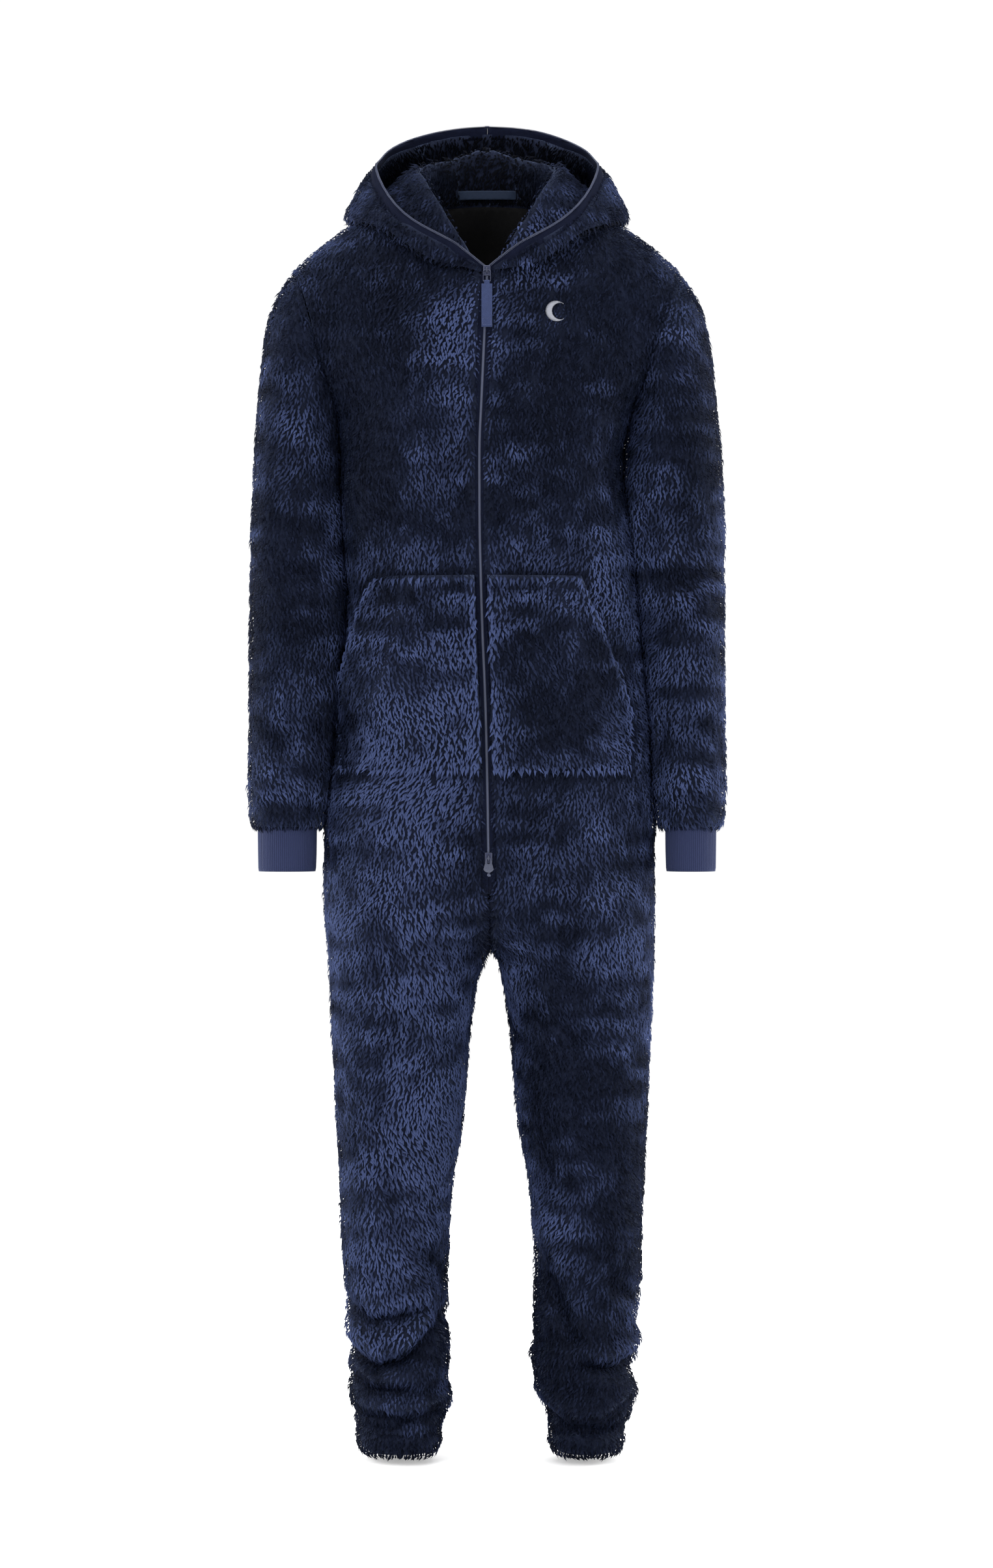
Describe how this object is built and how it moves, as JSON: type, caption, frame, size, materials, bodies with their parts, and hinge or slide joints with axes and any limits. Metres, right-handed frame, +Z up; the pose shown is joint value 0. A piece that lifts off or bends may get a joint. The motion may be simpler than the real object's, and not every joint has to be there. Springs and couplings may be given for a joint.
{
  "type": "hooded jumpsuit",
  "caption": "Adult hooded one-piece fleece jumpsuit with a full-length two-way zip, front pockets, rib cuffs and the hood down.",
  "frame": {"origin": "where the wearer's shoulders hold it: on its centre plane, 1.5 m above the foot of the leg hems", "axes": "+Z up along the garment, -Y to the front, +X to the wearer's left"},
  "size_m": [0.572, 0.3512, 1.6513],
  "materials": {
    "pile fleece": "navy long-pile fleece",
    "rib knit": "mid-navy rib knit",
    "zip tape": "navy woven zip tape",
    "neck facing": "black woven facing",
    "webbing": "navy woven webbing",
    "painted metal": "dark navy paint, semi-gloss"
  },
  "bodies": {
    "garment": {"front_left": "pile fleece", "front_right": "pile fleece", "back_left": "pile fleece", "back_right": "pile fleece", "sleeve_left": "pile fleece", "sleeve_right": "pile fleece", "sleeve_cuff_left": "rib knit", "sleeve_cuff_right": "rib knit", "leg_hem_left": "pile fleece", "leg_hem_right": "pile fleece", "hood_side_left": "pile fleece", "hood_side_right": "pile fleece", "hood_centre": "pile fleece", "pocket_left": "pile fleece", "pocket_right": "pile fleece", "zip_tape_left": "zip tape", "zip_tape_right": "zip tape", "neck_facing": "neck facing", "hanger_loop": "webbing", "slider_top": "painted metal", "slider_bottom": "painted metal"},
    "top_pull": {"puller_top": "painted metal", "pull_tab": "webbing"},
    "bottom_pull": {"puller_bottom": "painted metal"}
  },
  "joints": [
    {"name": "top_pull_hinge", "type": "hinge", "parent": "garment", "child": "top_pull", "pos_m": [0, -0.09718, -0.05488], "axis": [-1, 0, 0], "range_deg": [0, 140]},
    {"name": "bottom_pull_hinge", "type": "hinge", "parent": "garment", "child": "bottom_pull", "pos_m": [0.00207, -0.14038, -0.7636], "axis": [-1, 0, 0], "range_deg": [0, 150]}
  ]
}
